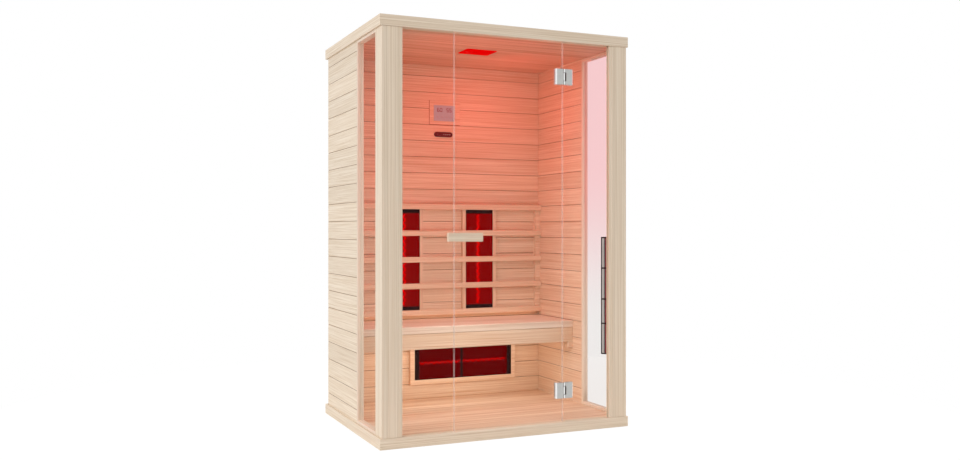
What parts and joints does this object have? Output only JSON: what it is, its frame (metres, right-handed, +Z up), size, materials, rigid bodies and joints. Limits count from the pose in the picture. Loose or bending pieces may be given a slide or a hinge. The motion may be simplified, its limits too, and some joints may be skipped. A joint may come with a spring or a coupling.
{
  "type": "infrared sauna cabin",
  "caption": "Wooden infrared sauna cabin with a glass front, hinged glass door, side windows, bench, backrest, radiant heaters, ceiling lamp and keypad.",
  "frame": {"origin": "middle of the underside, on the floor that the cabin stands on", "axes": "+Z up, -Y towards the glass front, +X to the right when facing the front"},
  "size_m": [1.3, 0.9593, 1.95],
  "materials": {
    "pale_wood": "planed, unvarnished",
    "room_wood": "planed, unvarnished",
    "clear_glass": "toughened, polished edges",
    "red_glass": "dark red, glossy",
    "satin_steel": "satin",
    "black_steel": "matt black",
    "grey_steel": "satin",
    "glowing_rod": "glowing ceramic",
    "pale_seal": "translucent",
    "red_lens": "lit diffuser",
    "pad_plastic": "satin film",
    "key_plastic": "satin",
    "black_plastic": "glossy"
  },
  "bodies": {
    "cabin": {"base_frame": "pale_wood", "floor_panel": "room_wood", "roof_cap": "pale_wood", "ceiling_panel": "room_wood", "lamp_housing": "black_steel", "lamp_lens": "red_lens", "power_box": "black_steel", "back_wall_outer": "pale_wood", "back_wall_inner": "room_wood", "left_wall_outer": "pale_wood", "left_wall_inner": "room_wood", "right_wall_outer": "pale_wood", "right_wall_inner": "room_wood", "front_left_post": "pale_wood", "front_right_post": "pale_wood", "left_window_frame": "pale_wood", "left_window_pane": "clear_glass", "right_window_frame": "pale_wood", "right_window_pane": "clear_glass", "left_front_pane": "clear_glass", "right_front_pane": "clear_glass", "latch_seal": "pale_seal", "hinge_seal": "pale_seal", "upper_hinge_fixed_leaf": "satin_steel", "upper_hinge_pin": "satin_steel", "lower_hinge_fixed_leaf": "satin_steel", "lower_hinge_pin": "satin_steel", "bench_seat": "room_wood", "bench_apron": "room_wood", "bench_left_cleat": "room_wood", "bench_right_cleat": "room_wood", "backrest_slat_1": "room_wood", "backrest_slat_2": "room_wood", "backrest_slat_3": "room_wood", "backrest_slat_4": "room_wood", "backrest_slat_5": "room_wood", "left_heater_surround": "room_wood", "right_heater_surround": "room_wood", "left_heater_housing": "black_steel", "left_heater_element": "glowing_rod", "left_heater_glass": "red_glass", "right_heater_housing": "black_steel", "right_heater_element": "glowing_rod", "right_heater_glass": "red_glass", "lower_heater_housing": "black_steel", "lower_heater_element": "glowing_rod", "lower_heater_glass": "red_glass", "corner_heater_housing": "grey_steel", "corner_heater_glass": "red_glass", "keypad_panel": "pad_plastic", "media_player": "black_plastic"},
    "door": {"door_pane": "clear_glass", "outer_handle": "pale_wood", "inner_handle": "pale_wood", "upper_hinge_door_leaf": "satin_steel", "lower_hinge_door_leaf": "satin_steel"},
    "time_down": {"time_down_key": "key_plastic"},
    "time_up": {"time_up_key": "key_plastic"},
    "heat_down": {"heat_down_key": "key_plastic"},
    "heat_up": {"heat_up_key": "key_plastic"}
  },
  "joints": [
    {"name": "door_swing", "type": "hinge", "parent": "cabin", "child": "door", "pos_m": [0.29, -0.4673, 0.97], "axis": [0, 0, 1], "range_deg": [0, 100]},
    {"name": "time_down_press", "type": "slide", "parent": "cabin", "child": "time_down", "axis": [0, 1, 0], "range_m": [0, 0.0008], "stiffness_N_per_m": 500, "springref_m": -0.0005},
    {"name": "time_up_press", "type": "slide", "parent": "cabin", "child": "time_up", "axis": [0, 1, 0], "range_m": [0, 0.0008], "stiffness_N_per_m": 500, "springref_m": -0.0005},
    {"name": "heat_down_press", "type": "slide", "parent": "cabin", "child": "heat_down", "axis": [0, 1, 0], "range_m": [0, 0.0008], "stiffness_N_per_m": 500, "springref_m": -0.0005},
    {"name": "heat_up_press", "type": "slide", "parent": "cabin", "child": "heat_up", "axis": [0, 1, 0], "range_m": [0, 0.0008], "stiffness_N_per_m": 500, "springref_m": -0.0005}
  ]
}
